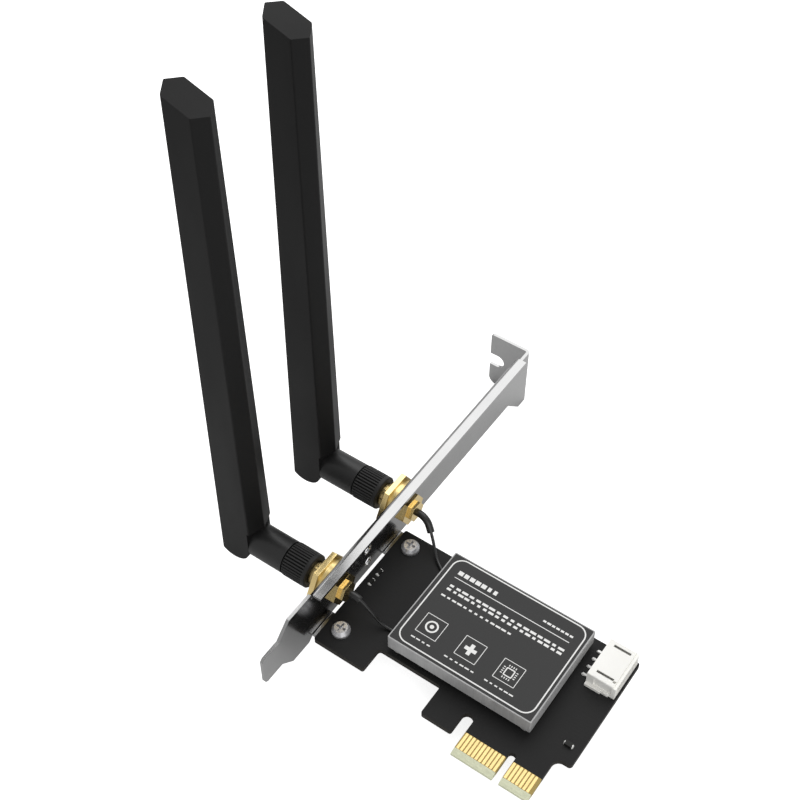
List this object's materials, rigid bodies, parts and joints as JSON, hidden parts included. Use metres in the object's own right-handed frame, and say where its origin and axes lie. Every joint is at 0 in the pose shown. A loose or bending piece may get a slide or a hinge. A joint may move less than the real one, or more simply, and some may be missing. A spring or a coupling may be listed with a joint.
{
  "type": "pcie wifi card",
  "caption": "Low-profile expansion card with a covered radio module, a slot bracket and folding blade antennas on threaded jacks.",
  "frame": {"origin": "middle of the key slot of the edge connector, on the connector's lower edge and at mid board thickness", "axes": "+X along the board away from the slot bracket, +Y from the edge connector to the screw tab end, +Z out of the component side"},
  "size_m": [0.1053, 0.12, 0.1523],
  "materials": {
    "bracket_steel": "zinc plated sheet",
    "board_black": "solder mask on glass laminate",
    "contact_gold": "gold plated",
    "screw_nickel": "nickel plated",
    "washer_brass": "plated brass",
    "jack_gold": "gold plated brass",
    "module_green": "solder mask on glass laminate",
    "shield_tin": "tinned sheet",
    "pad_grey": "soft thermal pad",
    "socket_black": "moulded",
    "cover_aluminium": "bead blasted",
    "label_film": "printed film",
    "header_white": "moulded",
    "pin_tin": "tin plated",
    "lamp_body": "ceramic and solder",
    "dielectric_white": "turned fluoropolymer",
    "cable_black": "extruded jacket",
    "sleeve_black": "heat-shrink",
    "antenna_black": "fine moulded texture"
  },
  "bodies": {
    "card": {"bracket": "bracket_steel", "circuit_board": "board_black", "contact_fingers": "contact_gold", "bracket_screws": "screw_nickel", "jack_washers": "washer_brass", "jack_nuts": "jack_gold", "module_board": "module_green", "module_shield": "shield_tin", "thermal_pad": "pad_grey", "module_receptacles": "contact_gold", "module_socket": "socket_black", "socket_contacts": "contact_gold", "module_standoff": "jack_gold", "module_screw": "screw_nickel", "cover": "cover_aluminium", "cover_label": "label_film", "cover_screws": "screw_nickel", "header_housing": "header_white", "header_pins": "pin_tin", "status_lamps": "lamp_body", "corner_capacitor": "lamp_body", "lower_jack": "jack_gold", "lower_jack_insulator": "dielectric_white", "lower_jack_pin": "contact_gold", "lower_pigtail": "cable_black", "lower_sleeve": "sleeve_black", "lower_cable_plug": "contact_gold", "upper_jack": "jack_gold", "upper_jack_insulator": "dielectric_white", "upper_jack_pin": "contact_gold", "upper_pigtail": "cable_black", "upper_sleeve": "sleeve_black", "upper_cable_plug": "contact_gold"},
    "lower_plug": {"lower_plug_core": "jack_gold", "lower_plug_insulator": "dielectric_white", "lower_plug_socket": "contact_gold"},
    "lower_nut": {"lower_coupling_nut": "antenna_black"},
    "lower_elbow": {"lower_barrel": "antenna_black", "lower_hinge_pin": "screw_nickel", "lower_barrel_lead": "cable_black"},
    "lower_blade_body": {"lower_blade": "antenna_black", "lower_radiator": "module_green", "lower_blade_lead": "cable_black"},
    "upper_plug": {"upper_plug_core": "jack_gold", "upper_plug_insulator": "dielectric_white", "upper_plug_socket": "contact_gold"},
    "upper_nut": {"upper_coupling_nut": "antenna_black"},
    "upper_elbow": {"upper_barrel": "antenna_black", "upper_hinge_pin": "screw_nickel", "upper_barrel_lead": "cable_black"},
    "upper_blade_body": {"upper_blade": "antenna_black", "upper_radiator": "module_green", "upper_blade_lead": "cable_black"}
  },
  "joints": [
    {"name": "lower_antenna_slide", "type": "slide", "parent": "card", "child": "lower_plug", "axis": [-1, 0, 0], "range_m": [0, 0.00353]},
    {"name": "lower_nut_turn", "type": "hinge", "parent": "lower_plug", "child": "lower_nut", "pos_m": [-0.0685, 0.01804, 0.0084], "axis": [-1, 0, 0], "range_deg": [0, 1800]},
    {"name": "lower_swivel", "type": "hinge", "parent": "lower_plug", "child": "lower_elbow", "pos_m": [-0.0772, 0.01804, 0.0084], "axis": [1, 0, 0], "range_deg": [-4, 180]},
    {"name": "lower_fold", "type": "hinge", "parent": "lower_elbow", "child": "lower_blade_body", "pos_m": [-0.08764, 0.01804, 0.0072], "axis": [0, -1, 0], "range_deg": [0, 90]},
    {"name": "upper_antenna_slide", "type": "slide", "parent": "card", "child": "upper_plug", "axis": [-1, 0, 0], "range_m": [0, 0.00353]},
    {"name": "upper_nut_turn", "type": "hinge", "parent": "upper_plug", "child": "upper_nut", "pos_m": [-0.0685, 0.04773, 0.0084], "axis": [-1, 0, 0], "range_deg": [0, 1800]},
    {"name": "upper_swivel", "type": "hinge", "parent": "upper_plug", "child": "upper_elbow", "pos_m": [-0.0772, 0.04773, 0.0084], "axis": [-1, 0, 0], "range_deg": [-4, 180]},
    {"name": "upper_fold", "type": "hinge", "parent": "upper_elbow", "child": "upper_blade_body", "pos_m": [-0.08764, 0.04773, 0.0072], "axis": [0, -1, 0], "range_deg": [0, 90]}
  ],
  "couplings": [
    {"joint": "lower_nut_turn", "follows": "lower_antenna_slide", "rad_per_m": 8904.7},
    {"joint": "upper_nut_turn", "follows": "upper_antenna_slide", "rad_per_m": 8904.7}
  ]
}
